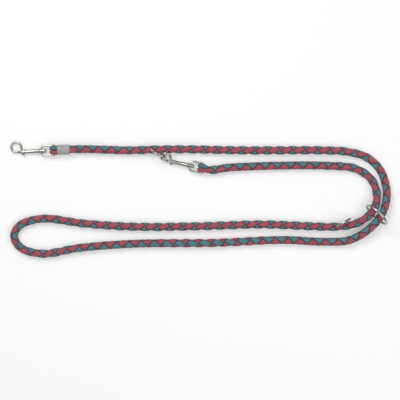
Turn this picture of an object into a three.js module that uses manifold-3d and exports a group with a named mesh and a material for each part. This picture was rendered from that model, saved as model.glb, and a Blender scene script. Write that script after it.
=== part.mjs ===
// An adjustable, double-ended braided lead, lying folded on a flat surface.
// A round four-strand rope carries a swivel bolt snap at each end, two small rings that
// pierce the braid, one large loose ring round both legs, and a woven label sleeve.
// Millimetres, +Z up. The origin is under the centre of the lead, on the surface it lies on.

import * as THREE from "three";
import { mergeVertices } from "three/addons/utils/BufferGeometryUtils.js";
import Module from "manifold-3d";

const wasm = await Module();
wasm.setup();

// ---------------------------------------------------------------- driving dimensions

const FLOOR_Z = 0;
const SEAT_GAP = 0.3; // between pieces that touch or turn in each other

const ROPE_DIAMETER = 12;
const ROPE_SIDES = 12;
const ROPE_STEPS_PER_SPAN = 3; // between two points of its route

const STRAND_WIDTH = 4.9; // one of the two folded cords, across the bail bar
const STRAND_EDGE = 0.9; // rounding of a strand's edges

const SLEEVE_LENGTH = 17.5;
const SLEEVE_WALL = 0.7;
const WHIPPING_LENGTH = 14;
const WHIPPING_THREAD = 0.6;
const WHIPPING_SQUEEZE = 0.7; // how far the thread draws the rope in, on the radius

const SMALL_RING_OUTER = 26;
const SMALL_RING_WIRE = 3;
const LARGE_RING_OUTER = 40;
const LARGE_RING_WIRE = 3.5;
const HOLE_CLEARANCE = 0.6; // between the braid and a ring that pierces it

const BAIL_WIDTH = 16;
const BAIL_ARM = 2.6;
const BAIL_THICKNESS = 2.8;
const BAIL_BAR_DIAMETER = 3;
const BAIL_LENGTH = 18.6; // from the bar's axis to the front of the crosspiece
const BAIL_CROSSPIECE = 2.5;
const HUB_DIAMETER = 6.2;
const HUB_LENGTH = 3.1;

const STEM_DIAMETER = 2.8;
const RIVET_HEAD_DIAMETER = 5.8;
const RIVET_HEAD_LENGTH = 5.6;
const PLUG_LENGTH = 4.6;

const BARREL_DIAMETER = 5.8;
const BARREL_LENGTH = 26.2;
const BORE_DIAMETER = 3.6;
const COLLAR_DIAMETER = 6.6;
const COLLAR_WIDTH = 1.2;

const EYE_DIAMETER = 14; // to the middle of the wire
const EYE_WIRE = 3;
const EYE_REACH = 6.6; // from the barrel's front face to the eye's centre, along the barrel

const BOLT_TAIL = 10; // how far the bolt reaches back inside the barrel
const BOLT_TRAVEL = 7;
const TIP_GAP = 0.5; // between the closed bolt and the hook's open end
const STUD_DIAMETER = 4;
const STUD_NECK = 2.2;
const STUD_PIN = 1.3;
const STUD_HEIGHT = 1.7;
const STUD_SETBACK = 3; // from the barrel's front face to the stud's axis

const SPRING_WIRE = 0.5;
const SPRING_COILS = 6;

// ---------------------------------------------------------------- worked-out dimensions

const ROPE_RADIUS = ROPE_DIAMETER / 2;
const ROPE_REST_Z = FLOOR_Z + ROPE_RADIUS;
const BAR_RADIUS = BAIL_BAR_DIAMETER / 2;
const BIGHT_INNER = BAR_RADIUS + SEAT_GAP;
const BIGHT_LEG = 4.5;

const NECK_RADIUS = ROPE_RADIUS - WHIPPING_SQUEEZE;
const WHIPPING_INNER = NECK_RADIUS + SEAT_GAP;
const WHIPPING_OUTER = WHIPPING_INNER + WHIPPING_THREAD;
const SLEEVE_INNER = ROPE_RADIUS / Math.cos(Math.PI / ROPE_SIDES) + SEAT_GAP;
const SLEEVE_OUTER = SLEEVE_INNER + SLEEVE_WALL;
const SLEEVE_REST_Z = FLOOR_Z + SLEEVE_OUTER + 0.1;
const SLEEVE_START = BIGHT_LEG + 2 * SEAT_GAP;

const CROSSPIECE_INNER = BAIL_LENGTH - BAIL_CROSSPIECE;
const HUB_FRONT = CROSSPIECE_INNER + HUB_LENGTH;
const BORE_RADIUS = BORE_DIAMETER / 2;
const BOLT_RADIUS = BORE_RADIUS - SEAT_GAP;
const BARREL_REAR = HUB_FRONT + SEAT_GAP;
const BARREL_FRONT = BARREL_REAR + BARREL_LENGTH;
const EYE_RADIUS = EYE_DIAMETER / 2;
const EYE_CENTRE = BARREL_FRONT + EYE_REACH;
const BOLT_FRONT = EYE_CENTRE - TIP_GAP;
const BOLT_REAR = BARREL_FRONT - BOLT_TAIL;
const PLUG_FRONT = BARREL_REAR + PLUG_LENGTH;
const STUD_X = BARREL_FRONT - STUD_SETBACK;

// ---------------------------------------------------------------- where things lie

const rad = THREE.MathUtils.degToRad;

// Each end: the bail bar's centre, the way the snap points (yaw), how far it dips towards
// its tip (pitch), and how far it is rolled about its own shank. Snap 2 is placed by its eye,
// which hooks ring 1, so its bail follows from the snap's length.
const SNAP_1 = { at: [-204.3, 69.5, SLEEVE_REST_Z], yaw: 183.2, pitch: 4.7, roll: 180 };
const SNAP_2 = placedByEye({ eye: [-48.05, 60.07], yaw: 168, pitch: 0.8, roll: 132 });

function placedByEye({ eye, yaw, pitch, roll }) {
  const turn = new THREE.Euler(rad(roll), rad(pitch), rad(yaw), "ZYX");
  const reach = new THREE.Vector3(EYE_CENTRE, EYE_RADIUS, 0).applyEuler(turn);
  return { at: [eye[0] - reach.x, eye[1] - reach.y, ROPE_REST_Z], yaw, pitch, roll };
}

// Small rings: the place on the rope's axis that the wire passes through, the heading of the
// ring's plane, its lean from level (90 stands upright), and how far its hole lets it swing.
const RING_1 = { through: [-66, 70.3, 7.2], heading: -29, lean: 99, swing: [-3, 3] };
const RING_2 = { through: [190.4, -37.2, 8.5], heading: 30, lean: 86, swing: [-36, 2] };
const LARGE_RING = { at: [245.4, -20.3], heading: -44, lean: 80 };

// The rope's axis from the sleeve's end to snap 2.
const Z = ROPE_REST_Z;
const ROUTE = [
  [-158, 71.0, 6.6], [-101, 69.4, 6.1],
  [-66, 70.3, 7.2], [-28, 70.9, 6.1], [60, 69.4, Z], [175, 69.3, Z],
  [206, 67.3, Z], [232.5, 59.8, Z], [250.5, 43.7, Z], [259.4, 21, 6.6],
  [260, 0, 10.2], [252.2, -21.6, 13.4], [234, -42, 10.8], [208, -56.2, 6.8],
  [175, -58.4, Z], [116, -55.9, Z], [21, -59.9, Z], [-91, -61.1, Z],
  [-168, -66.9, Z], [-221, -75, Z], [-250, -66.6, Z], [-259.7, -50.8, Z],
  [-252, -35.8, Z], [-221, -26.2, Z], [-161, -33, Z], [-91, -37.3, Z],
  [0, -36.6, Z], [87, -34.1, Z], [157, -36.7, 6.5], [190.4, -37.2, 8.5],
  [219.8, -31.8, 11.6], [240.2, -16, 13.4], [246.7, 3.8, 10.4], [240.1, 27.6, 6.5],
  [218.4, 43.2, Z], [179, 47.8, Z], [40, 45.2, Z], [15.5, 41.8, Z],
];

// ---------------------------------------------------------------- materials

function finish(color, roughness, metalness) {
  return new THREE.MeshStandardMaterial({ color, roughness, metalness });
}

const NICKEL = [0xc9c8c4, 0.22, 1];
const STEEL = [0xa9acb0, 0.35, 1];
const RED_CORD = [0xa8465a, 0.6, 0];
const TEAL_CORD = [0x4f8088, 0.6, 0];
const WOVEN_LABEL = [0xb9b7b2, 0.75, 0];
const THREAD = [0x3a3438, 0.8, 0];

// ---------------------------------------------------------------- helpers

function solidOf(geometry) {
  const bare = geometry.clone();
  bare.deleteAttribute("normal");
  bare.deleteAttribute("uv");
  const merged = mergeVertices(bare, 1e-4);
  return new wasm.Manifold(new wasm.Mesh({
    numProp: 3,
    vertProperties: Float32Array.from(merged.attributes.position.array),
    triVerts: Uint32Array.from(merged.index.array),
  }));
}

function geometryOf(solid) {
  const mesh = solid.getMesh();
  const geometry = new THREE.BufferGeometry();
  geometry.setAttribute("position", new THREE.BufferAttribute(mesh.vertProperties, 3));
  geometry.setIndex(new THREE.BufferAttribute(mesh.triVerts, 1));
  geometry.computeVertexNormals();
  return geometry;
}

function join(...geometries) {
  return geometries.map(solidOf).reduce((whole, next) => whole.add(next));
}

function named(name, geometry, look) {
  const mesh = new THREE.Mesh(geometry, finish(...look));
  mesh.name = name;
  return mesh;
}

// A turned piece along +X from [radius, x] pairs.
function turned(profile, sides) {
  const points = profile.map(([radius, x]) => new THREE.Vector2(radius, x));
  return new THREE.LatheGeometry(points, sides).rotateZ(-Math.PI / 2);
}

// A round bar of the given radius along X, Y or Z, centred on a point.
function bar(radius, length, axis, at = [0, 0, 0], sides = 20) {
  const geometry = new THREE.CylinderGeometry(radius, radius, length, sides);
  if (axis === "x") geometry.rotateZ(-Math.PI / 2);
  if (axis === "z") geometry.rotateX(Math.PI / 2);
  return geometry.translate(...at);
}

// A closed tube: the profile turned about X, with a hole of the inner radius.
function sleeveRing(inner, outer, start, length, sides = 24) {
  const end = start + length;
  return turned([[inner, start], [outer, start], [outer, end], [inner, end], [inner, start]], sides);
}

// A regular polygon whose flats lie at the given radius, with one flat facing each way.
function flatSided(radius, sides) {
  const corner = radius / Math.cos(Math.PI / sides);
  const points = Array.from({ length: sides }, (_, k) => {
    const angle = (2 * Math.PI * (k + 0.5)) / sides;
    return new THREE.Vector2(corner * Math.cos(angle), corner * Math.sin(angle));
  });
  return new THREE.Shape(points);
}

// A sheet outline in X and Y, given a thickness centred on Z = 0 and softened edges.
function plate(shape, thickness, edge, curveSegments = 8) {
  const depth = thickness - 2 * edge;
  const bevel = { bevelThickness: edge, bevelSize: edge, bevelOffset: -edge, bevelSegments: 1 };
  const options = { depth, curveSegments, bevelEnabled: true, ...bevel };
  return new THREE.ExtrudeGeometry(shape, options).translate(0, 0, -depth / 2);
}

// ---------------------------------------------------------------- rings

function ringGeometry(outer, wireRadius, along = 36, around = 10) {
  return new THREE.TorusGeometry(outer / 2 - wireRadius, wireRadius, around, along);
}

// The ring's centre and in-plane axes, for a ring that stands on the surface and passes
// through a point of the rope.
function smallRingFrame({ through, heading, lean }) {
  const radius = (SMALL_RING_OUTER - SMALL_RING_WIRE) / 2;
  const along = new THREE.Vector3(Math.cos(rad(heading)), Math.sin(rad(heading)), 0);
  const side = new THREE.Vector3(-along.y, along.x, 0);
  const up = side.multiplyScalar(Math.cos(rad(lean))).setZ(Math.sin(rad(lean)));
  const lowest = FLOOR_Z + SMALL_RING_WIRE / 2 + 0.05;
  const rise = (through[2] - lowest) / (radius * Math.sin(rad(lean))) - 1;
  const run = Math.sqrt(1 - rise * rise);
  const centre = new THREE.Vector3(...through)
    .addScaledVector(along, radius * run)
    .addScaledVector(up, -radius * rise);
  const tangent = along.clone().multiplyScalar(-rise).addScaledVector(up, -run);
  return { centre, along, up, tangent };
}

function smallRingMatrix(place, swing = 0) {
  const { centre, along, up, tangent } = smallRingFrame(place);
  const normal = new THREE.Vector3().crossVectors(along, up);
  const pivot = new THREE.Vector3(...place.through);
  const stand = new THREE.Matrix4().makeBasis(along, up, normal).setPosition(centre);
  return new THREE.Matrix4()
    .makeTranslation(pivot)
    .multiply(new THREE.Matrix4().makeRotationAxis(tangent, rad(swing)))
    .multiply(new THREE.Matrix4().makeTranslation(pivot.clone().negate()))
    .multiply(stand);
}

function smallRing(name, place) {
  const mesh = named(name, ringGeometry(SMALL_RING_OUTER, SMALL_RING_WIRE / 2), NICKEL);
  mesh.applyMatrix4(smallRingMatrix(place));
  return mesh;
}

function largeRing() {
  const geometry = ringGeometry(LARGE_RING_OUTER, LARGE_RING_WIRE / 2, 40);
  const mesh = named("large_ring", geometry, NICKEL);
  const reach = (LARGE_RING_OUTER - LARGE_RING_WIRE) / 2;
  const height = reach * Math.sin(rad(LARGE_RING.lean)) + LARGE_RING_WIRE / 2 + 0.05;
  mesh.position.set(...LARGE_RING.at, FLOOR_Z + height);
  mesh.rotation.set(rad(LARGE_RING.lean), 0, rad(LARGE_RING.heading), "ZYX");
  return mesh;
}

// ---------------------------------------------------------------- rope

// The place on the rope's axis that lies a distance behind a snap's bail bar.
function behind({ at, yaw }, distance) {
  const [x, y, z] = at;
  return [x - distance * Math.cos(rad(yaw)), y - distance * Math.sin(rad(yaw)), z];
}

// The rope's end nearest a snap: where its cut face meets the folded strands.
function ropeEnd(snap) {
  return behind(snap, BIGHT_LEG + SEAT_GAP);
}

// A smooth curve that never sinks into the surface, with its cross-section kept upright.
// It is divided alike between every two points, so one end's place leaves the rest as it is.
class RopeAxis extends THREE.CatmullRomCurve3 {
  getPoint(t, target = new THREE.Vector3()) {
    super.getPoint(t, target);
    target.z = Math.max(target.z, ROPE_REST_Z);
    return target;
  }

  getSpacedPoints(segments) {
    return this.getPoints(segments);
  }

  computeFrenetFrames(segments) {
    const up = new THREE.Vector3(0, 0, 1);
    const tangents = Array.from({ length: segments + 1 }, (_, k) => this.getTangent(k / segments));
    const normals = tangents.map((t) => new THREE.Vector3().crossVectors(up, t).normalize());
    const binormals = tangents.map((t, k) => new THREE.Vector3().crossVectors(t, normals[k]));
    return { tangents, normals, binormals };
  }
}

function ropeCurve() {
  const sleeveEnd = behind(SNAP_1, SLEEVE_START + SLEEVE_LENGTH);
  const points = [ropeEnd(SNAP_1), sleeveEnd, ...ROUTE, ropeEnd(SNAP_2)];
  return new RopeAxis(points.map((p) => new THREE.Vector3(...p)), false, "centripetal");
}

// The passage that a ring keeps open in the braid, at every angle of its swing.
function ringPassage(place) {
  const [low, high] = place.swing;
  const turns = Math.max(1, Math.round((high - low) / 7));
  const wireRadius = SMALL_RING_WIRE / 2;
  const passages = Array.from({ length: turns + 1 }, (_, k) => {
    const swing = low + ((high - low) * k) / turns;
    const torus = new THREE.TorusGeometry(
      SMALL_RING_OUTER / 2 - wireRadius, wireRadius + HOLE_CLEARANCE, 8, 32,
    );
    return torus.applyMatrix4(smallRingMatrix(place, swing));
  });
  return join(...passages);
}

// Where the whipping draws the rope in, a ring of the rope is missing.
function whippingGroove() {
  const start = SLEEVE_START + (SLEEVE_LENGTH - WHIPPING_LENGTH) / 2 - SEAT_GAP;
  const length = WHIPPING_LENGTH + 2 * SEAT_GAP;
  const groove = sleeveRing(NECK_RADIUS, ROPE_RADIUS * 1.3, start, length);
  return groove.applyMatrix4(endGroup(SNAP_1, 180).matrixWorld);
}

function rope() {
  const axis = ropeCurve();
  const geometry = new THREE.ExtrudeGeometry(flatSided(ROPE_RADIUS, ROPE_SIDES), {
    steps: ROPE_STEPS_PER_SPAN * (axis.points.length - 1),
    extrudePath: axis,
    bevelEnabled: false,
  });
  const cut = solidOf(geometry)
    .subtract(ringPassage(RING_1))
    .subtract(ringPassage(RING_2))
    .subtract(solidOf(whippingGroove()));
  return named("braided_rope", geometryOf(cut), RED_CORD);
}

// One folded cord: it comes out of the rope, round the bail bar, and back in.
function strandBight(name, side, look) {
  const outer = ROPE_RADIUS;
  const outline = new THREE.Shape();
  outline.moveTo(-BIGHT_LEG, outer);
  outline.lineTo(0, outer);
  outline.absarc(0, 0, outer, Math.PI / 2, -Math.PI / 2, true);
  outline.lineTo(-BIGHT_LEG, -outer);
  outline.lineTo(-BIGHT_LEG, -BIGHT_INNER);
  outline.lineTo(0, -BIGHT_INNER);
  outline.absarc(0, 0, BIGHT_INNER, -Math.PI / 2, Math.PI / 2, false);
  outline.lineTo(-BIGHT_LEG, BIGHT_INNER);
  const geometry = plate(outline, STRAND_WIDTH, STRAND_EDGE, 9).rotateX(Math.PI / 2);
  const mesh = named(name, geometry, look);
  mesh.position.y = (side * (STRAND_WIDTH + SEAT_GAP)) / 2;
  return mesh;
}

function whipping() {
  const start = SLEEVE_START + (SLEEVE_LENGTH - WHIPPING_LENGTH) / 2;
  const geometry = sleeveRing(WHIPPING_INNER, WHIPPING_OUTER, start, WHIPPING_LENGTH);
  return named("end_whipping", geometry, THREAD);
}

function labelSleeve() {
  const geometry = sleeveRing(SLEEVE_INNER, SLEEVE_OUTER, SLEEVE_START, SLEEVE_LENGTH);
  return named("label_sleeve", geometry, WOVEN_LABEL);
}

// ---------------------------------------------------------------- bolt snap

// The U of the bail, its round bar, and the hub that the swivel stem turns in.
function bail(name) {
  const half = BAIL_WIDTH / 2;
  const inside = half - BAIL_ARM;
  const bend = 6;
  const innerBend = 3.3;
  const shape = new THREE.Shape();
  shape.moveTo(0, half);
  shape.absarc(BAIL_LENGTH - bend, half - bend, bend, Math.PI / 2, 0, true);
  shape.absarc(BAIL_LENGTH - bend, bend - half, bend, 0, -Math.PI / 2, true);
  shape.lineTo(0, -half);
  shape.lineTo(0, -inside);
  shape.absarc(CROSSPIECE_INNER - innerBend, innerBend - inside, innerBend, -Math.PI / 2, 0, false);
  shape.absarc(CROSSPIECE_INNER - innerBend, inside - innerBend, innerBend, 0, Math.PI / 2, false);
  shape.lineTo(0, inside);
  const hub = bar(HUB_DIAMETER / 2, HUB_LENGTH, "x", [CROSSPIECE_INNER + HUB_LENGTH / 2, 0, 0]);
  const crossbar = bar(BAR_RADIUS, BAIL_WIDTH - 0.6, "y");
  const frame = join(plate(shape, BAIL_THICKNESS, 0.5), hub, crossbar);
  const stemHole = bar(STEM_DIAMETER / 2 + SEAT_GAP, BAIL_LENGTH, "x", [BAIL_LENGTH, 0, 0]);
  return named(name, geometryOf(frame.subtract(solidOf(stemHole))), NICKEL);
}

// Domed head inside the bail, stem through its hub, and a plug that closes the barrel.
function swivelRivet(name) {
  const head = RIVET_HEAD_DIAMETER / 2;
  const back = CROSSPIECE_INNER - SEAT_GAP;
  const start = back - RIVET_HEAD_LENGTH;
  const profile = [
    [0, start], [head * 0.5, start + 0.3], [head * 0.87, start + 1.3], [head, start + 2.8],
    [head, back], [STEM_DIAMETER / 2, back], [STEM_DIAMETER / 2, BARREL_REAR + 0.2],
    [BOLT_RADIUS, BARREL_REAR + 0.2], [BOLT_RADIUS, PLUG_FRONT], [0, PLUG_FRONT],
  ];
  return named(name, turned(profile, 20), NICKEL);
}

// The hook: a leg that leaves the barrel's side and an almost full turn round the eye.
function hookWire() {
  const centre = new THREE.Vector3(EYE_CENTRE, EYE_RADIUS, 0);
  const leg = [[-12.6, 1.9], [-9.2, 2.5], [-7.5, 4.2]];
  const points = leg.map(([x, y]) => new THREE.Vector3(EYE_CENTRE + x, y, 0));
  const first = rad(176);
  const last = -Math.PI / 2;
  const turns = 12;
  for (let k = 0; k <= turns; k += 1) {
    const angle = first + ((last - first) * k) / turns;
    const spoke = new THREE.Vector3(Math.cos(angle), Math.sin(angle), 0);
    points.push(centre.clone().addScaledVector(spoke, EYE_RADIUS));
  }
  return new THREE.ExtrudeGeometry(flatSided(EYE_WIRE / 2, 10), {
    steps: 34,
    extrudePath: new THREE.CatmullRomCurve3(points, false, "centripetal"),
    bevelEnabled: false,
  });
}

// A slot with round ends through one wall of the barrel, for the stud's neck.
function studSlot() {
  const half = STUD_NECK / 2 + SEAT_GAP;
  const back = STUD_X - BOLT_TRAVEL;
  const outline = new THREE.Shape();
  outline.absarc(STUD_X, 0, half, -Math.PI / 2, Math.PI / 2, false);
  outline.absarc(back, 0, half, Math.PI / 2, (3 * Math.PI) / 2, false);
  const depth = COLLAR_DIAMETER;
  return new THREE.ExtrudeGeometry(outline, { depth, curveSegments: 6, bevelEnabled: false })
    .rotateX(Math.PI / 2);
}

function snapBody(name) {
  const r = BARREL_DIAMETER / 2;
  const collar = COLLAR_DIAMETER / 2;
  const ease = 0.3;
  const profile = [
    [0, BARREL_REAR], [collar - ease, BARREL_REAR], [collar, BARREL_REAR + ease],
    [collar, BARREL_REAR + COLLAR_WIDTH], [r, BARREL_REAR + COLLAR_WIDTH + ease],
    [r, BARREL_FRONT - COLLAR_WIDTH - ease], [collar, BARREL_FRONT - COLLAR_WIDTH],
    [collar, BARREL_FRONT - ease], [collar - ease, BARREL_FRONT], [0, BARREL_FRONT],
  ];
  const bore = bar(BORE_RADIUS, BARREL_LENGTH + 2 + EYE_WIRE, "x", [
    (BARREL_REAR + BARREL_FRONT + EYE_WIRE) / 2, 0, 0,
  ]);
  const body = join(turned(profile, 20), hookWire())
    .subtract(solidOf(bore))
    .subtract(solidOf(studSlot()));
  return named(name, geometryOf(body), NICKEL);
}

function bolt(name) {
  const tip = 0.9;
  const profile = [
    [0, BOLT_REAR], [BOLT_RADIUS - 0.3, BOLT_REAR], [BOLT_RADIUS, BOLT_REAR + 0.3],
    [BOLT_RADIUS, BOLT_FRONT - tip], [BOLT_RADIUS * 0.6, BOLT_FRONT], [0, BOLT_FRONT],
  ];
  const pinHole = bar(STUD_PIN / 2 + SEAT_GAP / 2, 4, "y", [STUD_X, -2.2, 0], 12);
  const shaft = solidOf(turned(profile, 16)).subtract(solidOf(pinHole));
  return named(name, geometryOf(shaft), STEEL);
}

// A pin pressed into the bolt, a neck through the slot and a domed thumb pad outside.
function thumbStud(name) {
  const pad = COLLAR_DIAMETER / 2 + 0.2;
  const top = pad + STUD_HEIGHT;
  const profile = [
    [0, 0.5], [STUD_PIN / 2, 0.5], [STUD_PIN / 2, BOLT_RADIUS + SEAT_GAP],
    [STUD_NECK / 2, BOLT_RADIUS + SEAT_GAP], [STUD_NECK / 2, pad], [STUD_DIAMETER / 2, pad],
    [STUD_DIAMETER / 2, top - 0.7], [STUD_DIAMETER * 0.36, top - 0.1], [0, top],
  ];
  const mesh = named(name, turned(profile, 16), NICKEL);
  mesh.rotation.z = -Math.PI / 2;
  mesh.position.x = STUD_X;
  return mesh;
}

// A helix between the plug and the bolt's tail.
function spring(name) {
  const start = PLUG_FRONT + SEAT_GAP + SPRING_WIRE / 2;
  const end = BOLT_REAR - SEAT_GAP - SPRING_WIRE / 2;
  const radius = BORE_RADIUS - SEAT_GAP - SPRING_WIRE / 2;
  const perCoil = 10;
  const points = Array.from({ length: SPRING_COILS * perCoil + 1 }, (_, k) => {
    const angle = (2 * Math.PI * k) / perCoil;
    const x = start + ((end - start) * k) / (SPRING_COILS * perCoil);
    return new THREE.Vector3(x, radius * Math.cos(angle), radius * Math.sin(angle));
  });
  const geometry = new THREE.ExtrudeGeometry(flatSided(SPRING_WIRE / 2, 5), {
    steps: SPRING_COILS * perCoil,
    extrudePath: new THREE.CatmullRomCurve3(points),
    bevelEnabled: false,
  });
  return named(name, geometry, STEEL);
}

// ---------------------------------------------------------------- assembly

// A group at a bail bar, its +X pointing along the given turn from the snap's heading.
function endGroup({ at, yaw }, turn = 0) {
  const group = new THREE.Group();
  group.position.set(...at);
  group.rotation.z = rad(yaw + turn);
  group.updateMatrixWorld(true);
  return group;
}

function snapEnd(place, number) {
  const end = endGroup(place);
  end.add(strandBight(`red_bight_${number}`, 1, RED_CORD));
  end.add(strandBight(`teal_bight_${number}`, -1, TEAL_CORD));
  const hanging = new THREE.Group();
  hanging.rotation.y = rad(place.pitch);
  hanging.add(bail(`bail_${number}`));
  const snap = new THREE.Group();
  snap.rotation.x = rad(place.roll);
  snap.add(swivelRivet(`swivel_rivet_${number}`));
  snap.add(snapBody(`snap_body_${number}`));
  snap.add(bolt(`bolt_${number}`));
  snap.add(thumbStud(`thumb_stud_${number}`));
  snap.add(spring(`bolt_spring_${number}`));
  hanging.add(snap);
  end.add(hanging);
  return end;
}

const lead = new THREE.Group();
lead.add(rope());
lead.add(snapEnd(SNAP_1, 1));
lead.add(snapEnd(SNAP_2, 2));
const labelled = endGroup(SNAP_1, 180);
labelled.add(whipping());
labelled.add(labelSleeve());
lead.add(labelled);
lead.add(smallRing("ring_1", RING_1));
lead.add(smallRing("ring_2", RING_2));
lead.add(largeRing());

export default lead;
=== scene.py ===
"""The look of an adjustable braided lead: its four-strand rope, snaps, rings and label."""

import math

import bmesh
import bpy
import numpy as np
from mathutils import Matrix, Vector


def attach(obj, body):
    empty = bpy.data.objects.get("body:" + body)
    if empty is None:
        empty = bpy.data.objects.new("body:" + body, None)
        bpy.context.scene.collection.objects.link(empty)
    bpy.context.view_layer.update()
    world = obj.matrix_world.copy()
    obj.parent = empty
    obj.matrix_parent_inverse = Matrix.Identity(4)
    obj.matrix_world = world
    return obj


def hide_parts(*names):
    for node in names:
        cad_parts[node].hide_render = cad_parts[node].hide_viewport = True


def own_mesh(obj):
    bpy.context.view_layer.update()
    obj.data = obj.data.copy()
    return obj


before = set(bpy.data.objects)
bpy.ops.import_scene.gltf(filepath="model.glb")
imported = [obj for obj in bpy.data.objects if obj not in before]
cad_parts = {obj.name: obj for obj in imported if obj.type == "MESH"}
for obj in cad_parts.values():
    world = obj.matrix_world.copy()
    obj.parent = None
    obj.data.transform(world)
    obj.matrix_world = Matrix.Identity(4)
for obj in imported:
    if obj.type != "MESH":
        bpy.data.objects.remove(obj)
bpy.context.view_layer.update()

MM = 0.001
rng = np.random.default_rng(7)

SENSOR = 36.0
CAMERA_HEIGHT = 2.6  # metres above the floor, looking straight down
VIEW_WIDTH = 0.56  # metres of floor across the picture

# ------------------------------------------------------------------ sizes, millimetres

REST_Z = 6.0  # height of the rope's axis where it lies on the floor
BIGHT_LEG = 4.5  # from the bail's bar to the end of the fold round it
GAP = 0.3  # between that end and the rope's
SLEEVE_Z = 7.312  # height of the rope's axis in the label sleeve
SLEEVE = (5.1, 22.6)  # from and to, behind the bail's bar

STRAND_R = 4.0  # from the rope's axis to the middle of a strand
STRAND_WEAVE = 0.62  # how far a strand rises and dips at each crossing
STRAND_SAG = 0.3  # how far its edges lie below its middle
STRAND_SPREAD = math.radians(87)  # half its width, as an angle about the rope's axis
STRAND_HALF_THICK = 1.45
STRAND_CROWN = 0.62  # the less, the flatter its face and the steeper its edges
STRAND_SECTION = np.concatenate([  # angles round its section: many outside, few inside
    np.linspace(0, np.pi, 24, endpoint=False),
    np.linspace(np.pi, 2 * np.pi, 6, endpoint=False),
])
STRAND_WANDER = 0.04  # how far each cord strays round the rope, in radians
STRAND_UNEVEN = 0.03  # by what share its width and thickness vary
SEAM_DEPTH = 0.75  # how far below a cord's face the shade of a seam reaches
SEAM_SHADE = 0.08  # the painted shade in a seam, as a share of the cord's dark colour
TURNS = 53.25  # of each strand round the rope, end to end
ROPE_STEPS = 1900  # sections of the braid's mesh
PATH_STEPS = 600

BIGHT_R = 3.9  # from the bar's axis to the middle of the cord folded round it
BIGHT_SIDE = 2.66  # from the rope's axis to the middle of each colour
BIGHT_HALF_WIDTH = 2.52
BIGHT_HALF_THICK = 2.05
BIGHT_SWELL = 0.85  # how much a folded cord spreads between the bar and the braid
BIGHT_SWELL_THICK = 0.3
FAN_OUT = 9.0  # length over which the braid opens into its four cords at each end

# Where each bail's bar and each ring lies, and how it is turned, in degrees.
SNAP_1 = {"at": (-204.3, 69.5, SLEEVE_Z), "yaw": 183.2, "pitch": 4.7, "roll": 180.0}
SNAP_2 = {"at": (2.2, 44.6, REST_Z), "yaw": 168.0, "pitch": 0.8, "roll": 132.0}
RING_1 = {"through": (-66, 70.3, 7.2), "heading": -29.0, "lean": 99.0}
RING_2 = {"through": (190.4, -37.2, 8.5), "heading": 30.0, "lean": 86.0}
LARGE_RING = {"at": (245.4, -20.3), "heading": -44.0, "lean": 80.0}
SMALL_RING_SIZE = (26, 3)  # outside, and thickness of the wire
LARGE_RING_SIZE = (40, 3.5)
RING_LIFT = 0.05  # how far the rings clear the floor

# The points that the rope's axis goes through, the same as in the CAD source.
Z = REST_Z
ROUTE = [
    (-158, 71.0, 6.6), (-101, 69.4, 6.1),
    (-66, 70.3, 7.2), (-28, 70.9, 6.1), (60, 69.4, Z), (175, 69.3, Z),
    (206, 67.3, Z), (232.5, 59.8, Z), (250.5, 43.7, Z), (259.4, 21, 6.6),
    (260, 0, 10.2), (252.2, -21.6, 13.4), (234, -42, 10.8), (208, -56.2, 6.8),
    (175, -58.4, Z), (116, -55.9, Z), (21, -59.9, Z), (-91, -61.1, Z),
    (-168, -66.9, Z), (-221, -75, Z), (-250, -66.6, Z), (-259.7, -50.8, Z),
    (-252, -35.8, Z), (-221, -26.2, Z), (-161, -33, Z), (-91, -37.3, Z),
    (0, -36.6, Z), (87, -34.1, Z), (157, -36.7, 6.5), (190.4, -37.2, 8.5),
    (219.8, -31.8, 11.6), (240.2, -16, 13.4), (246.7, 3.8, 10.4), (240.1, 27.6, 6.5),
    (218.4, 43.2, Z), (179, 47.8, Z), (40, 45.2, Z), (15.5, 41.8, Z),
]

# How far the braid is rolled about its own axis, in degrees, at shares of its length.
ROLL = [
    (0.0, 0), (0.012, -40), (0.05, -35), (0.07, -5), (0.2, 4), (0.222, 26), (0.27, 42),
    (0.36, 45), (0.4, 80), (0.44, 108), (0.47, 135), (0.505, 142), (0.53, 170), (0.55, 212),
    (0.58, 226), (0.6, 208), (0.63, 198), (0.65, 194), (0.7, 184), (0.8, 182), (0.845, 200),
    (0.9, 205), (0.93, 225), (0.985, 222), (1.0, 180),
]


# ------------------------------------------------------------------ curves

def behind(snap, distance):
    """The place on the rope's axis that lies a distance behind a snap's bail bar."""
    x, y, z = snap["at"]
    yaw = math.radians(snap["yaw"])
    return (x - distance * math.cos(yaw), y - distance * math.sin(yaw), z)


def rope_end(snap):
    return behind(snap, BIGHT_LEG + GAP)


def catmull_rom(points, per_span=60):
    """A centripetal Catmull-Rom curve through the points."""
    p = np.array(points, float)
    p = np.vstack([2 * p[0] - p[1], p, 2 * p[-1] - p[-2]])
    out = []
    for i in range(1, len(p) - 2):
        x0, x1, x2, x3 = p[i - 1], p[i], p[i + 1], p[i + 2]
        d0, d1, d2 = (math.sqrt(np.linalg.norm(b - a)) for a, b in ((x0, x1), (x1, x2), (x2, x3)))
        t1 = ((x1 - x0) / d0 - (x2 - x0) / (d0 + d1) + (x2 - x1) / d1) * d1
        t2 = ((x2 - x1) / d1 - (x3 - x1) / (d1 + d2) + (x3 - x2) / d2) * d1
        t = np.linspace(0, 1, per_span, endpoint=False)[:, None]
        a = 2 * x1 - 2 * x2 + t1 + t2
        b = -3 * x1 + 3 * x2 - 2 * t1 - t2
        out.append(x1 + t1 * t + b * t**2 + a * t**3)
    return np.vstack([*out, p[-2]])


def evenly(points, count):
    steps = np.linalg.norm(np.diff(points, axis=0), axis=1)
    along = np.concatenate([[0], np.cumsum(steps)])
    at = np.linspace(0, along[-1], count)
    return np.column_stack([np.interp(at, along, points[:, k]) for k in range(3)]), at


def unit(v):
    return v / np.linalg.norm(v, axis=-1, keepdims=True)


def directions(points):
    return unit(np.gradient(points, axis=0))


# ------------------------------------------------------------------ meshes

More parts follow.
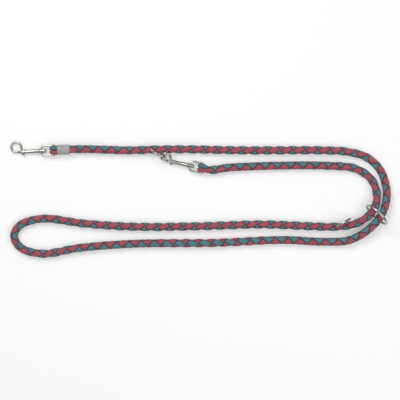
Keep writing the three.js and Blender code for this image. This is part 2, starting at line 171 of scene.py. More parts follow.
def mesh_object(name, verts, faces, uvs=None, smooth=True):
    mesh = bpy.data.meshes.new(name)
    mesh.from_pydata([tuple(v) for v in verts], [], [tuple(f) for f in faces])
    if uvs is not None:
        layer = mesh.uv_layers.new(name="cord")
        loops = np.empty(len(mesh.loops), dtype=np.int32)
        mesh.loops.foreach_get("vertex_index", loops)
        layer.data.foreach_set("uv", np.asarray(uvs, dtype=np.float32)[loops].ravel())
    if smooth:
        mesh.polygons.foreach_set("use_smooth", np.ones(len(mesh.polygons), dtype=bool))
    mesh.validate()
    grid = bmesh.new()
    grid.from_mesh(mesh)
    bmesh.ops.recalc_face_normals(grid, faces=grid.faces)
    grid.to_mesh(mesh)
    grid.free()
    mesh.update()
    obj = bpy.data.objects.new(name, mesh)
    bpy.context.scene.collection.objects.link(obj)
    return obj


def grid_faces(rows, around, closed=False, flip=False):
    """The quads between rings of vertices; closed joins the last ring to the first."""
    count = rows if closed else rows - 1
    i = np.arange(count)[:, None] * around
    above = (np.arange(1, count + 1) % rows)[:, None] * around
    j = np.arange(around)[None]
    k = (j + 1) % around
    corners = [i + j, above + j, above + k, i + k]
    if flip:
        corners = [i + j, i + k, above + k, above + j]
    return np.stack(corners, -1).reshape(-1, 4).tolist()


def swept(centre, side, out, half_width, half_thick, around=16, power=2.0):
    """Vertices, faces and uvs of an oval section swept along a line, in millimetres."""
    n = len(centre)
    a = np.linspace(0, 2 * np.pi, around, endpoint=False)
    c = np.sign(np.cos(a)) * np.abs(np.cos(a)) ** (2 / power)
    s = np.sign(np.sin(a)) * np.abs(np.sin(a)) ** (2 / power)
    w = np.broadcast_to(np.asarray(half_width, float), (n,))[:, None, None]
    h = np.broadcast_to(np.asarray(half_thick, float), (n,))[:, None, None]
    across = w * c[None, :, None] * side[:, None]
    verts = centre[:, None] + across + h * s[None, :, None] * out[:, None]
    steps = np.linalg.norm(np.diff(centre, axis=0), axis=1)
    along = np.concatenate([[0], np.cumsum(steps)])
    u = np.abs(np.linspace(-1, 1, around, endpoint=False))
    uvs = np.stack([np.tile(u, (n, 1)), np.tile(along[:, None], (1, around))], -1)
    faces = grid_faces(n, around, flip=True)
    faces.append(list(range(around))[::-1])
    faces.append(list(range((n - 1) * around, n * around)))
    return verts.reshape(-1, 3), faces, uvs.reshape(-1, 2)


def square_sweep(line, half_width, half_thick, around, power=2.0):
    """A section swept along a line that lies flat, kept upright."""
    up = np.tile([0.0, 0.0, 1.0], (len(line), 1))
    side = unit(np.cross(up, directions(line)))
    verts, faces, _ = swept(line, side, up, half_width, half_thick, around, power)
    return verts, faces


def coil_sweep(line, wire, around):
    """A round wire swept along a line that is wound round the X axis."""
    out = unit(line * [0, 1, 1])
    side = unit(np.cross(directions(line), out))
    verts, faces, _ = swept(line, side, out, wire, wire, around)
    return verts, faces


def joined(parts):
    verts, faces, uvs, base = [], [], [], 0
    for v, f, uv in parts:
        verts.append(v)
        uvs.append(uv)
        faces.extend([x + base for x in face] for face in f)
        base += len(v)
    return np.vstack(verts), faces, np.vstack(uvs)


def lathe(profile, around=48):
    """A turned piece along X, from (radius, x) pairs that start and end on its axis."""
    r = np.array([p[0] for p in profile], float)
    x = np.array([p[1] for p in profile], float)
    a = np.linspace(0, 2 * np.pi, around, endpoint=False)
    ring = np.stack([np.zeros(around), np.cos(a), np.sin(a)], -1)
    verts = r[:, None, None] * ring[None]
    verts[..., 0] = x[:, None]
    return verts.reshape(-1, 3), grid_faces(len(r), around, flip=True)


def rounded(profile, radius=0.25, steps=4):
    """The profile with its inner corners rounded."""
    p = np.array(profile, float)
    out = [p[0]]
    for a, b, c in zip(p[:-2], p[1:-1], p[2:]):
        la, lc = np.linalg.norm(a - b), np.linalg.norm(c - b)
        cut = min(radius, la * 0.45, lc * 0.45)
        s = b + (a - b) / la * cut
        e = b + (c - b) / lc * cut
        for t in np.linspace(0, 1, steps):
            out.append((1 - t) ** 2 * s + 2 * t * (1 - t) * b + t**2 * e)
    out.append(p[-1])
    return [tuple(q) for q in out]


def place(obj, matrix):
    """Moves a mesh made in millimetres to its place in the row frame, in metres."""
    obj.data.transform(Matrix.Scale(MM, 4) @ matrix)
    obj.data.update()
    return obj


# ------------------------------------------------------------------ frames of the ends

def end_matrix(snap, turn=0.0):
    """The frame of a rope end: the bail's bar along y, and the snap along x."""
    yaw = math.radians(snap["yaw"] + turn)
    return Matrix.Translation(snap["at"]) @ Matrix.Rotation(yaw, 4, "Z")


def bail_matrix(snap):
    return end_matrix(snap) @ Matrix.Rotation(math.radians(snap["pitch"]), 4, "Y")


def snap_matrix(snap):
    return bail_matrix(snap) @ Matrix.Rotation(math.radians(snap["roll"]), 4, "X")


def small_ring_matrix(ring):
    outer, wire = SMALL_RING_SIZE
    r = (outer - wire) / 2
    h, lean = math.radians(ring["heading"]), math.radians(ring["lean"])
    along = Vector((math.cos(h), math.sin(h), 0))
    up = Vector((-along.y * math.cos(lean), along.x * math.cos(lean), math.sin(lean)))
    rise = (ring["through"][2] - (wire / 2 + RING_LIFT)) / (r * math.sin(lean)) - 1
    centre = Vector(ring["through"]) + along * r * math.sqrt(1 - rise * rise) - up * r * rise
    normal = along.cross(up)
    return Matrix.Translation(centre) @ Matrix((along, up, normal)).transposed().to_4x4()


def large_ring_matrix():
    outer, wire = LARGE_RING_SIZE
    lean, h = math.radians(LARGE_RING["lean"]), math.radians(LARGE_RING["heading"])
    height = (outer - wire) / 2 * math.sin(lean) + wire / 2 + RING_LIFT
    turn = Matrix.Rotation(h, 4, "Z") @ Matrix.Rotation(lean, 4, "X")
    return Matrix.Translation((*LARGE_RING["at"], height)) @ turn


# ------------------------------------------------------------------ camera and stage

def camera():
    data = bpy.data.cameras.new("camera")
    data.sensor_width = SENSOR
    data.lens = SENSOR * CAMERA_HEIGHT / VIEW_WIDTH
    data.clip_start, data.clip_end = 0.05, 20
    obj = bpy.data.objects.new("camera", data)
    obj.location = (0, 0, CAMERA_HEIGHT)
    bpy.context.scene.collection.objects.link(obj)
    bpy.context.scene.camera = obj


camera()


def soft_light(name, location, size, power):
    """A square lamp that shines on the middle of the floor."""
    data = bpy.data.lights.new(name, "AREA")
    data.shape = "RECTANGLE"
    data.size = data.size_y = size
    data.energy = power
    obj = bpy.data.objects.new(name, data)
    obj.location = location
    obj.rotation_mode = "QUATERNION"
    obj.rotation_quaternion = (-Vector(location)).to_track_quat("-Z", "Y")
    bpy.context.scene.collection.objects.link(obj)
    return obj


def node_material(name):
    """A new material, with its nodes, its links and its shader."""
    mat = bpy.data.materials.new(name)
    mat.use_nodes = True
    nodes, links = mat.node_tree.nodes, mat.node_tree.links
    return mat, nodes, links, nodes["Principled BSDF"]


def add_noise(nodes, links, scale, detail=2.0):
    """Mottling that stays with the object."""
    coords = nodes.new("ShaderNodeTexCoord")
    noise = nodes.new("ShaderNodeTexNoise")
    noise.inputs["Scale"].default_value = scale
    noise.inputs["Detail"].default_value = detail
    links.new(coords.outputs["Object"], noise.inputs["Vector"])
    return noise.outputs["Fac"]


def add_bump(nodes, links, bsdf, height, strength, distance):
    bump = nodes.new("ShaderNodeBump")
    bump.inputs["Strength"].default_value = strength
    bump.inputs["Distance"].default_value = distance
    links.new(height, bump.inputs["Height"])
    links.new(bump.outputs["Normal"], bsdf.inputs["Normal"])


def add_mix(nodes, links, factor, colour):
    """A colour mix by a factor, from a fixed colour; returns the mix node."""
    mix = nodes.new("ShaderNodeMix")
    mix.data_type = "RGBA"
    mix.clamp_factor = True
    links.new(factor, mix.inputs[0])
    mix.inputs[6].default_value = (*colour, 1)
    return mix


def add_ramp(nodes, links, factor, low, high):
    """A colour ramp between two (position, colour) ends."""
    ramp = nodes.new("ShaderNodeValToRGB")
    for element, (position, colour) in zip(ramp.color_ramp.elements, (low, high)):
        element.position = position
        element.color = (*colour, 1)
    links.new(factor, ramp.inputs["Fac"])
    return ramp.outputs["Color"]


def stage():
    half, below = 3.0, 0.0002
    floor = mesh_object(
        "floor",
        [(-half, -half, 0), (half, -half, 0), (half, half, 0), (-half, half, 0)],
        [(0, 1, 2, 3)],
        smooth=False,
    )
    floor.location.z = -below
    paper, _, _, bsdf = node_material("paper")
    bsdf.inputs["Base Color"].default_value = (0.66, 0.66, 0.66, 1)
    bsdf.inputs["Roughness"].default_value = 0.9
    bsdf.inputs["Emission Color"].default_value = (1, 1, 1, 1)
    bsdf.inputs["Emission Strength"].default_value = 0.3
    floor.data.materials.append(paper)
    soft_light("key", (-0.5, 0.9, 1.5), 0.9, 14)
    soft_light("fill", (0.9, -0.6, 1.6), 1.2, 10)
    sky()
    bpy.context.scene.view_settings.view_transform = "Standard"


def sky():
    """Pale above and dark at the horizon, for the metal to reflect."""
    world = bpy.data.worlds.new("studio")
    bpy.context.scene.world = world
    world.use_nodes = True
    nodes, links = world.node_tree.nodes, world.node_tree.links
    coords = nodes.new("ShaderNodeTexCoord")
    split = nodes.new("ShaderNodeSeparateXYZ")
    links.new(coords.outputs["Generated"], split.inputs["Vector"])
    low, high = (0.15, (0.12, 0.12, 0.12)), (0.75, (0.9, 0.9, 0.9))
    colour = add_ramp(nodes, links, split.outputs["Z"], low, high)
    links.new(colour, nodes["Background"].inputs["Color"])
    nodes["Background"].inputs["Strength"].default_value = 0.7


stage()


# ------------------------------------------------------------------ the rope

def rope_axis(count):
    points = [rope_end(SNAP_1), behind(SNAP_1, SLEEVE[1]), *ROUTE, rope_end(SNAP_2)]
    line = catmull_rom(points)
    line[:, 2] = np.maximum(line[:, 2], REST_Z)
    return evenly(line, count)


def rope_frames(line):
    """The directions left of and above the rope's axis."""
    t = directions(line)
    left = unit(np.cross([0.0, 0.0, 1.0], t))
    return left, np.cross(t, left)


def smooth_step(x):
    x = np.clip(x, 0, 1)
    return x * x * (3 - 2 * x)


def opening_share(at, length):
    """How far the braid has opened towards each end, from 0 to 1."""
    return smooth_step(1 - at / FAN_OUT) + smooth_step(1 - (length - at) / FAN_OUT)


def braid_cords(roll, phase, share):
    """The four cords: the way each turns, its middle as an angle, its half width and thickness."""
    cords = []
    knots = 90
    grid = np.linspace(0, 1, knots)
    for sign, twin in ((1, 0), (1, 1), (-1, 0), (-1, 1)):
        rows = rng.normal(0, 1, (3, knots))
        drift = [np.interp(share, grid, row)[:, None] for row in rows]
        middle = (roll + sign * phase + math.pi * twin)[:, None]
        cords.append({
            "sign": sign,
            "middle": middle + STRAND_WANDER * drift[1],
            "spread": STRAND_SPREAD * (1 + STRAND_UNEVEN * drift[0]),
            "half_thick": STRAND_HALF_THICK * (1 + STRAND_UNEVEN * drift[2]),
        })
    return cords


def mid_radius(cord, phase, off):
    """How far out a cord's middle layer lies, as it goes over and under the others."""
    lift = cord["sign"] * np.cos(2 * cord["sign"] * phase[:, None] + off)
    return STRAND_R + STRAND_WEAVE * lift - STRAND_SAG * (off / cord["spread"]) ** 2


def outer_radius(cord, phase, angle):
    """How far out a cord's surface lies at an angle about the rope's axis, or 0 beside it."""
    off = np.angle(np.exp(1j * (angle - cord["middle"])))
    across = np.clip(off / cord["spread"], -1, 1)
    crown = (1 - across**2) ** (STRAND_CROWN / 2)
    r = mid_radius(cord, phase, off) + cord["half_thick"] * crown
    return np.where(np.abs(across) < 1, r, 0)


def strand(cord, crossing, phase, line, left, up, opened, share):
    """One of the four cords: a broad soft strip, and how clear each point is of the shade painted
    in its seams.

    Towards the rope's ends it straightens into one leg of a cord folded round a bail's bar.
    """
    sign = cord["sign"]
    t = STRAND_SECTION[None]
    c, s = np.cos(t), np.sin(t)
    off = cord["spread"] * c
    angle = cord["middle"] + off
    crown = np.sign(s) * np.abs(s) ** STRAND_CROWN
    r = mid_radius(cord, phase, off) + cord["half_thick"] * crown
    # Where the crossing cords lie over this one, its colour is painted dark as the shade in the
    # seam between them.
    above = r - np.maximum(*(outer_radius(other, phase, angle) for other in crossing))
    outside = s > 0.02  # the side of the section that faces out
    clear = np.where(outside, smooth_step(above / SEAM_DEPTH), 0)
    y, z = r * np.sin(angle), r * np.cos(angle)
    first = math.cos(cord["middle"][0, 0])
    last = math.cos(cord["middle"][-1, 0])
    high = np.where(share < 0.5, np.sign(first), np.sign(last))[:, None]
    beside = (np.where(share < 0.5, -1, 1) * sign)[:, None] * BIGHT_SIDE
    leg_y = beside + high * BIGHT_HALF_WIDTH * c
    leg_z = high * (BIGHT_R + BIGHT_HALF_THICK * s)
    o = opened[:, None]
    y, z = (1 - o) * y + o * leg_y, (1 - o) * z + o * leg_z
    verts = line[:, None] + left[:, None] * y[..., None] + up[:, None] * z[..., None]
    # In the legs near the bail's bar the cords are painted a little darker all over, as shade.
    leg_clear_of_painted_shade = 0.8
    return strip_mesh(verts), ((1 - o) * clear + leg_clear_of_painted_shade * o).ravel()


def strip_mesh(verts):
    """Faces and uvs for rings of vertices with a strand's section."""
    n, m = verts.shape[:2]
    middle = verts.mean(1)
    along = np.concatenate([[0], np.cumsum(np.linalg.norm(np.diff(middle, axis=0), axis=1))])
    u = np.cos(STRAND_SECTION)
    uvs = np.stack([np.tile(u, (n, 1)), np.tile(along[:, None], (1, m))], -1).reshape(-1, 2)
    faces = grid_faces(n, m)
    faces += [list(range(m)), list(range((n - 1) * m, n * m))[::-1]]
    return verts.reshape(-1, 3), faces, uvs


def mark_painted_shade(obj, values):
    """Keeps how clear each point of a cord is of painted shade: 0 in a seam, where the colour is
    painted nearly black as shade, 1 away from it.
    """
    layer = obj.data.attributes.new("clear_of_painted_shade", "FLOAT", "POINT")
    layer.data.foreach_set("value", np.asarray(values, dtype=np.float32))


def braid_roll(share):
    """The braid's roll along the rope, in radians, with the corners of its table smoothed."""
    reach = 12
    window = 2 * reach + 1
    roll = np.radians(np.interp(share, *zip(*ROLL)))
    for _ in range(3):
        padded = np.pad(roll, reach, mode="edge")
        roll = np.convolve(padded, np.ones(window) / window, mode="valid")
    return roll


def rope():
    line, at = rope_axis(ROPE_STEPS)
    length = at[-1]
    left, up = rope_frames(line)
    share = at / length
    roll = braid_roll(share)
    phase = 2 * np.pi * TURNS * share - np.pi / 4
    opened = opening_share(at, length)
    cords = braid_cords(roll, phase, share)
    crossings = [cords[2:], cords[2:], cords[:2], cords[:2]]
    made = [
        strand(cord, crossing, phase, line, left, up, opened, share)
        for cord, crossing in zip(cords, crossings)
    ]
    parts = [part for part, _ in made]
    verts, faces, uvs = joined(parts)
    obj = mesh_object("braid", verts * MM, faces, uvs)
    # These values paint the shade of the seams into the cords' colour.
    mark_painted_shade(obj, np.concatenate([clear for _, clear in made]))
    slots = np.repeat([0, 0, 1, 1], len(parts[0][1])).astype(np.int32)
    for colour in ("red", "teal"):
        obj.data.materials.append(CORDS[colour])
    obj.data.polygons.foreach_set("material_index", slots)
    obj.data.update()
    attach(obj, "lead")
    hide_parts("braided_rope")
    return obj


def declare_rope():
    """Works out points along the rope's axis, which nothing uses."""
    path, at = rope_axis(PATH_STEPS)


def cord_material(name, dark, light):
    """Braided cord: a fine diagonal weave, mottled, with its seams painted nearly black as shade.
    """
    mat, nodes, links, bsdf = node_material(name)

    def math_node(op, a, b=None, c=None):
        node = nodes.new("ShaderNodeMath")
        node.operation = op
        for k, value in enumerate((a, b, c)):
            if value is None:
                continue
            if isinstance(value, (int, float)):
                node.inputs[k].default_value = value
            else:
                links.new(value, node.inputs[k])
        return node.outputs[0]

    uv = nodes.new("ShaderNodeUVMap")
    uv.uv_map = "cord"
    split = nodes.new("ShaderNodeSeparateXYZ")
    links.new(uv.outputs["UV"], split.inputs["Vector"])
    across = math_node("MULTIPLY", split.outputs["X"], 4.0)
    down = math_node("MULTIPLY", split.outputs["Y"], 1.15)
    one = math_node("SINE", math_node("MULTIPLY", math_node("ADD", across, down), math.pi))
    two = math_node("SINE", math_node("MULTIPLY", math_node("SUBTRACT", across, down), math.pi))
    weave = math_node("MULTIPLY", one, two)
    weave = math_node("MULTIPLY_ADD", weave, 0.5, 0.5)
    fine = add_noise(nodes, links, 900, 4)
    broad = add_noise(nodes, links, 60)
    tint = math_node("MULTIPLY_ADD", weave, 0.55, math_node("MULTIPLY", fine, 0.35))
    tint = math_node("ADD", tint, math_node("MULTIPLY", broad, 0.15))
    cord = add_mix(nodes, links, tint, dark)
    cord.inputs[7].default_value = (*light, 1)
    # The seams are painted nearly black as shade where the value read here falls to 0.
    clear_of_painted_shade = nodes.new("ShaderNodeAttribute")
    clear_of_painted_shade.attribute_name = "clear_of_painted_shade"
    painted_seam_shade = [SEAM_SHADE * v for v in dark]
    shaded = add_mix(nodes, links, clear_of_painted_shade.outputs["Fac"], painted_seam_shade)
    links.new(cord.outputs[2], shaded.inputs[7])
    links.new(shaded.outputs[2], bsdf.inputs["Base Color"])
    height = math_node("MULTIPLY_ADD", weave, 0.7, math_node("MULTIPLY", fine, 0.5))
    add_bump(nodes, links, bsdf, height, 0.7, 0.0003)
    bsdf.inputs["Roughness"].default_value = 0.62
    bsdf.inputs["Sheen Weight"].default_value = 0.25
    bsdf.inputs["Sheen Roughness"].default_value = 0.4
    bsdf.inputs["Specular IOR Level"].default_value = 0.35
    return mat


def metal_material(name, colour, roughness):
    """Cast and tumbled metal: its gloss varies from place to place."""
    mat, nodes, links, bsdf = node_material(name)
    bsdf.inputs["Base Color"].default_value = (*colour, 1)
    bsdf.inputs["Metallic"].default_value = 1.0
    noise = add_noise(nodes, links, 260, 5)
    spread = nodes.new("ShaderNodeMapRange")
    spread.inputs["To Min"].default_value = roughness * 0.75
    spread.inputs["To Max"].default_value = roughness * 1.35
    links.new(noise, spread.inputs["Value"])
    links.new(spread.outputs["Result"], bsdf.inputs["Roughness"])
    add_bump(nodes, links, bsdf, noise, 0.12, 0.0002)
    return mat


CORDS = {
    "red": cord_material("red_braided_cord", (0.23, 0.04, 0.06), (0.46, 0.095, 0.13)),
    "teal": cord_material("teal_braided_cord", (0.035, 0.11, 0.135), (0.11, 0.26, 0.29)),
}
NICKEL = metal_material("nickel", (0.46, 0.445, 0.42), 0.2)
STEEL = metal_material("steel", (0.36, 0.36, 0.365), 0.3)


def strand_bight(number, colour, snap):
    """The folded cord that goes round the bail's bar, with its ends inside the rope's."""
    side = 1 if colour == 0 else -1
    around = 26
    run_in, leg_steps, turn_steps = 1.8, 8, 26
    swell_from, swell_length = 1.6, 3.4
    leg = np.linspace(BIGHT_LEG + run_in, 0.2, leg_steps)
    turn = np.radians(np.linspace(90, -90, turn_steps))
    xs = np.concatenate([-leg, BIGHT_R * np.cos(turn), -leg[::-1]])
    flat = np.full(len(leg), BIGHT_R)
    zs = np.concatenate([flat, BIGHT_R * np.sin(turn), -flat])
    points = np.column_stack([xs, np.full(len(xs), BIGHT_SIDE * side), zs])
    across = np.tile([0.0, 1.0, 0.0], (len(points), 1))
    out = unit(np.cross(directions(points), across))
    share = np.clip((-swell_from - points[:, 0]) / swell_length, 0, 1)
    bulge = np.sin(np.pi * share) ** 2
    points[:, 1] += side * BIGHT_SWELL * bulge
    width = BIGHT_HALF_WIDTH + BIGHT_SWELL * bulge
    thick = BIGHT_HALF_THICK + BIGHT_SWELL_THICK * bulge
    verts, faces, uvs = swept(points, across, out, width, thick, around, 2.1)
    name = ("red", "teal")[colour]
    obj = place(mesh_object(f"{name}_cord_{number}", verts, faces, uvs), end_matrix(snap))
    from_middle = np.abs(np.cos(np.linspace(0, 2 * np.pi, around, endpoint=False)))
    edge = smooth_step((np.tile(from_middle, len(points)) - 0.7) / 0.28)
    mark_painted_shade(obj, 0.9 - 0.7 * edge)  # painted shade: a little darker all over, and darker still along both its edges
    obj.data.materials.append(CORDS[name])
    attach(obj, "lead")
    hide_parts(f"{name}_bight_{number}")


# ------------------------------------------------------------------ rings

WELD_SWELL = 0.035  # as a share of the wire
WELD_ANGLE = 0.05  # half its length, in radians


def ring_mesh(name, outer, wire, matrix, node):
    """A ring of round wire, with the slight swelling of its weld."""
    steps, around = 128, 28
    turn = np.linspace(0, 2 * np.pi, steps + 1)[:-1]
    r = (outer - wire) / 2
    line = np.column_stack([r * np.cos(turn), r * np.sin(turn), np.zeros(steps)])
    a = np.linspace(0, 2 * np.pi, around, endpoint=False)
    from_weld = np.minimum(turn, 2 * np.pi - turn)
    weld = 1 + WELD_SWELL * np.exp(-((from_weld / WELD_ANGLE) ** 2))
    half = (wire / 2 * weld)[:, None, None]
    verts = (
        line[:, None]
        + half * np.cos(a)[None, :, None] * unit(line)[:, None]
        + half * np.sin(a)[None, :, None] * np.array([0, 0, 1.0])
    )
    faces = grid_faces(steps, around, closed=True)
    obj = place(mesh_object(name, verts.reshape(-1, 3), faces), matrix)
    obj.data.materials.append(NICKEL)
    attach(obj, node)
    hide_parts(node)


# ------------------------------------------------------------------ snaps

# Along the snap, x runs from the bail's bar to the eye; y is across it.

BAIL_CORNER_R = 4.7
BAIL_SIDE = 6.7  # from the middle to each leg's middle
BAIL_FRONT = 17.35  # from the bar's axis to the front's middle
BAIL_LEG_END = -0.4
BAIL_HALF_WIDTH = 1.28
BAIL_HALF_THICK = 1.4
BAIL_FRONT_SWELL = 0.1
BAR_R = 1.5
BAR_END = 8.1
COLLAR_R = 1.95  # where a leg meets the bar
COLLAR_HALF = 1.35
HUB_R = 3.1  # the boss that the rivet goes through
HUB = (16.0, 19.2)
HUB_BORE_R = 1.7
HUB_BORE = (14.0, 21.0)
BARREL = (19.5, 45.7)
EYE = (52.3, 7.0)  # its centre
EYE_R = 7.0  # to the middle of its wire
STUD_X = 42.7
STUD_SLOT_HALF = 1.4
BORE_R = 1.8
SPRING = (24.65, 35.15)
BOLT_TRAVEL = 7.0
SHARP_ANGLE = math.radians(38)


def bar_mesh(radius, start, end, axis, around=32, ease=0.3):
    """A round bar along the x or the y axis, with eased ends."""
    profile = [(0, start), (radius - ease, start), (radius, start + ease)]
    profile += [(radius, end - ease), (radius - ease, end), (0, end)]
    verts, faces = lathe(profile, around)
    if axis == "y":
        verts = np.stack([-verts[:, 1], verts[:, 0], verts[:, 2]], -1)
    return verts, faces


def combine(obj, verts, faces, operation):
    """Adds a shape to a mesh, or cuts it away."""
    tool = mesh_object("tool", verts, faces, smooth=False)
    mod = obj.modifiers.new("cut", "BOOLEAN")
    mod.object, mod.operation, mod.solver = tool, operation, "EXACT"
    done = bpy.data.meshes.new_from_object(
        obj.evaluated_get(bpy.context.evaluated_depsgraph_get())
    )
    obj.modifiers.clear()
    obj.data = done
    bpy.data.objects.remove(tool)


def finish_metal(obj, matrix, body, node, material):
    """Places a metal piece, gives it its material and says what it stands for."""
    place(obj, matrix)
    obj.data.polygons.foreach_set("use_smooth", np.ones(len(obj.data.polygons), dtype=bool))
    obj.data.set_sharp_from_angle(angle=SHARP_ANGLE)
    obj.data.materials.clear()
    obj.data.materials.append(material)
    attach(obj, body)
    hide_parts(node)


def arc(cx, cy, r, start, end, steps=10):
    a = np.radians(np.linspace(start, end, steps))
    return np.column_stack([cx + r * np.cos(a), cy + r * np.sin(a)])


def bail_piece(number, snap):
    steps = 90
    bend = BAIL_CORNER_R
    x, y = BAIL_FRONT - bend, BAIL_SIDE - bend
    flat = np.vstack([
        [(BAIL_LEG_END, BAIL_SIDE)], arc(x, y, bend, 90, 0), arc(x, -y, bend, 0, -90),
        [(BAIL_LEG_END, -BAIL_SIDE)],
    ])
    line, _ = evenly(np.column_stack([flat, np.zeros(len(flat))]), steps)
    from_front = (np.arange(steps) - (steps - 1) / 2) / 14
    ease = 1 + BAIL_FRONT_SWELL * np.exp(-from_front**2)
    sweep = square_sweep(line, BAIL_HALF_WIDTH, BAIL_HALF_THICK * ease, 20, 3.2)
    obj = mesh_object(f"bail_look_{number}", *sweep)
    combine(obj, *bar_mesh(BAR_R, -BAR_END, BAR_END, "y"), "UNION")
    for side in (-1, 1):
        middle = side * BAIL_SIDE
        collar = bar_mesh(COLLAR_R, middle - COLLAR_HALF, middle + COLLAR_HALF, "y")
        combine(obj, *collar, "UNION")
    combine(obj, *bar_mesh(HUB_R, *HUB, "x", 40, 0.5), "UNION")
    combine(obj, *bar_mesh(HUB_BORE_R, *HUB_BORE, "x"), "DIFFERENCE")
    node = f"bail_{number}"
    finish_metal(obj, bail_matrix(snap), node, node, NICKEL)


def rivet_piece(number, snap):
    profile = [
        (0, 10.2), (1.3, 10.35), (2.3, 11.0), (2.8, 12.2), (2.85, 13.2), (2.85, 15.8),
        (1.4, 15.8), (1.4, 19.7), (1.5, 19.7), (1.5, 24.1), (0, 24.1),
    ]
    obj = mesh_object(f"rivet_look_{number}", *lathe(profile))
    node = f"swivel_rivet_{number}"
    finish_metal(obj, snap_matrix(snap), f"snap_{number}", node, NICKEL)


def slot_cutter():
    """The slot in the barrel that the thumb stud slides along."""
    half = STUD_SLOT_HALF
    back = STUD_X - BOLT_TRAVEL
    outline = [*arc(STUD_X, 0, half, -90, 90), *arc(back, 0, half, 90, 270)]
    n = len(outline)
    verts = [(x, y, z) for y in (-6.0, 0.0) for x, z in outline]
    faces = [list(range(n)), list(range(n, 2 * n))[::-1]]
    faces += [[k, n + k, n + (k + 1) % n, (k + 1) % n] for k in range(n)]
    return verts, faces


def snap_piece(number, snap):
    lo, hi = BARREL
    profile = rounded([
        (0, lo), (3.3, lo), (3.3, lo + 1.3), (2.9, lo + 1.9), (2.75, (lo + hi) / 2),
        (2.9, hi - 1.9), (3.3, hi - 1.3), (3.3, hi), (0, hi),
    ], 0.45)
    obj = mesh_object(f"snap_look_{number}", *lathe(profile, 56))
    neck = [(EYE[0] - 12.6, 1.9), (EYE[0] - 9.2, 2.5), (EYE[0] - 7.5, 4.2)]
    flat = np.vstack([neck, arc(*EYE, EYE_R, 176, -90, 14)])
    line = catmull_rom(np.column_stack([flat, np.zeros(len(flat))]), 24)
    line, along = evenly(line, 150)
    share = along / along[-1]
    thick = np.interp(share, [0, 0.12, 0.25, 0.9, 0.97, 1.0], [1.3, 1.5, 1.6, 1.6, 1.55, 1.4])
    combine(obj, *square_sweep(line, thick, thick * 1.02, 26), "UNION")
    combine(obj, *bar_mesh(BORE_R, lo - 1, hi + 4, "x", 32, 0.01), "DIFFERENCE")
    combine(obj, *slot_cutter(), "DIFFERENCE")
    node = f"snap_body_{number}"
    finish_metal(obj, snap_matrix(snap), f"snap_{number}", node, NICKEL)


def bolt_piece(number, snap):
    profile = [
        (0, 35.75), (1.2, 35.75), (1.5, 36.05), (1.5, 50.9), (1.3, 51.4), (0.8, 51.75),
        (0, 51.8),
    ]
    obj = mesh_object(f"bolt_look_{number}", *lathe(profile))
    node = f"bolt_{number}"
    finish_metal(obj, snap_matrix(snap), node, node, STEEL)


def stud_piece(number, snap):
    profile = [
        (0, 1.0), (1.1, 1.0), (1.1, 3.4), (1.45, 3.6), (1.95, 3.75), (2.0, 4.2), (1.85, 4.75),
        (1.3, 5.1), (0.6, 5.2), (0, 5.2),
    ]
    obj = mesh_object(f"stud_look_{number}", *lathe(profile))
    across = Matrix.Rotation(math.radians(-90), 4, "Z")
    matrix = snap_matrix(snap) @ (Matrix.Translation((STUD_X, 0, 0)) @ across)
    node = f"thumb_stud_{number}"
    finish_metal(obj, matrix, f"bolt_{number}", node, NICKEL)


def spring_piece(number, snap):
    """A wound spring with closed ends, of one fixed length: it does not shorten as the bolt is
    drawn back.
    """
    wire, radius, coils = 0.25, 1.25, 7
    back, front = SPRING
    turn = np.linspace(0, 1, 24 * coils)
    x = np.interp(turn, [0, 1 / coils, 1 - 1 / coils, 1], [0, 0.05, 0.95, 1])
    x = back + x * (front - back)
    angle = 2 * np.pi * coils * turn
    line = np.column_stack([x, radius * np.cos(angle), radius * np.sin(angle)])
    obj = mesh_object(f"spring_look_{number}", *coil_sweep(line, wire, 10))
    matrix = snap_matrix(snap)
    finish_metal(obj, matrix, f"snap_{number}", f"bolt_spring_{number}", STEEL)
    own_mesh(obj)


# ------------------------------------------------------------------ label and whipping

def label_material():
    """Woven tape: crossing threads, with some unevenness."""
    mat, nodes, links, bsdf = node_material("woven_label")
    coords = nodes.new("ShaderNodeTexCoord")
    threads = nodes.new("ShaderNodeMath")
    threads.operation = "MULTIPLY"
    for k, direction in enumerate(("X", "Y")):
        wave = nodes.new("ShaderNodeTexWave")
        wave.bands_direction = direction
        wave.inputs["Scale"].default_value = 520
        wave.inputs["Distortion"].default_value = 0.8
        links.new(coords.outputs["Object"], wave.inputs["Vector"])
        links.new(wave.outputs["Fac"], threads.inputs[k])
    mix = nodes.new("ShaderNodeMath")
    mix.operation = "MULTIPLY_ADD"
    links.new(threads.outputs[0], mix.inputs[0])
    mix.inputs[1].default_value = 0.5
    links.new(add_noise(nodes, links, 700, 3), mix.inputs[2])
    low, high = (0.35, (0.2, 0.19, 0.19)), (0.95, (0.52, 0.5, 0.49))
    links.new(add_ramp(nodes, links, mix.outputs[0], low, high), bsdf.inputs["Base Color"])
    add_bump(nodes, links, bsdf, mix.outputs[0], 0.6, 0.0002)
    bsdf.inputs["Roughness"].default_value = 0.5
    bsdf.inputs["Sheen Weight"].default_value = 0.3
    return mat


def bump_at(distance, half):
    """1 where the distance is nothing, fading over the half width given."""
    return np.exp(-(distance / half) ** 2)


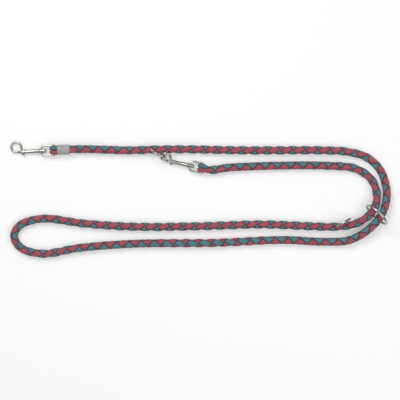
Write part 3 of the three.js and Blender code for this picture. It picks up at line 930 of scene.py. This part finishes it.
def label_piece():
    """A closed sleeve of tape, slightly wrinkled and skewed, with a stitched hem at each end."""
    start, end = SLEEVE
    around, along = 120, 50
    outer, inner = 7.1, 6.45
    hem_half, stitch_in, stitch_half, stitches = 0.35, 1.1, 0.22, 24
    a = np.linspace(0, 2 * np.pi, around, endpoint=False)
    x = np.linspace(start, end, along)
    hem = (bump_at(x - start, hem_half) + bump_at(end - x, hem_half))[:, None]
    stitch = bump_at(x - start - stitch_in, stitch_half) + bump_at(end - x - stitch_in, stitch_half)
    r = outer - 0.18 * hem + 0.07 * np.sin(3 * a + 0.25 * x[:, None])
    r = r + 0.05 * np.sin(7 * a - 0.6 * x[:, None] + 1.3) * (1 - 0.5 * hem)
    r = r - 0.16 * stitch[:, None] * (0.6 + 0.4 * np.cos(stitches * a))
    skew = 0.45 * np.sin(a)[None] * np.linspace(1, 0, along)[:, None]
    shells = []
    for radius, order in ((r, 1), (np.full_like(r, inner), -1)):
        xx = x[::order, None] + skew[::order]
        shells.append(np.stack([xx, radius * np.cos(a), radius * np.sin(a)], -1))
    verts = np.concatenate(shells)
    faces = grid_faces(len(verts), around, closed=True)
    obj = mesh_object("label_look", verts.reshape(-1, 3), faces)
    place(obj, end_matrix(SNAP_1, 180))
    obj.data.materials.append(label_material())
    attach(obj, "lead")
    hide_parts("label_sleeve")


def thread_material():
    mat, nodes, links, bsdf = node_material("binding_thread")
    noise = add_noise(nodes, links, 2500)
    low, high = (0.0, (0.02, 0.016, 0.018)), (1.0, (0.09, 0.07, 0.08))
    links.new(add_ramp(nodes, links, noise, low, high), bsdf.inputs["Base Color"])
    add_bump(nodes, links, bsdf, noise, 0.5, 0.0001)
    bsdf.inputs["Roughness"].default_value = 0.7
    return mat


def whipping_piece():
    """Thread wound in close turns round the braid's end, under the label."""
    start, end = 6.85, 20.85
    wire, radius, turns = 0.29, 5.9, 23
    angle = np.linspace(0, 2 * np.pi * turns, 30 * turns)
    x = np.linspace(start + wire, end - wire, len(angle))
    line = np.column_stack([x, radius * np.cos(angle), radius * np.sin(angle)])
    obj = mesh_object("whipping_look", *coil_sweep(line, wire, 8))
    place(obj, end_matrix(SNAP_1, 180))
    obj.data.materials.append(thread_material())
    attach(obj, "lead")
    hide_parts("end_whipping")


# ------------------------------------------------------------------ the lead

braid = rope()
for number, snap in ((1, SNAP_1), (2, SNAP_2)):
    strand_bight(number, 0, snap)
    strand_bight(number, 1, snap)
    bail_piece(number, snap)
    rivet_piece(number, snap)
    snap_piece(number, snap)
    bolt_piece(number, snap)
    stud_piece(number, snap)
    spring_piece(number, snap)
declare_rope()
label_piece()
whipping_piece()
ring_mesh("ring_one", *SMALL_RING_SIZE, small_ring_matrix(RING_1), "ring_1")
ring_mesh("ring_two", *SMALL_RING_SIZE, small_ring_matrix(RING_2), "ring_2")
ring_mesh("ring_large", *LARGE_RING_SIZE, large_ring_matrix(), "large_ring")
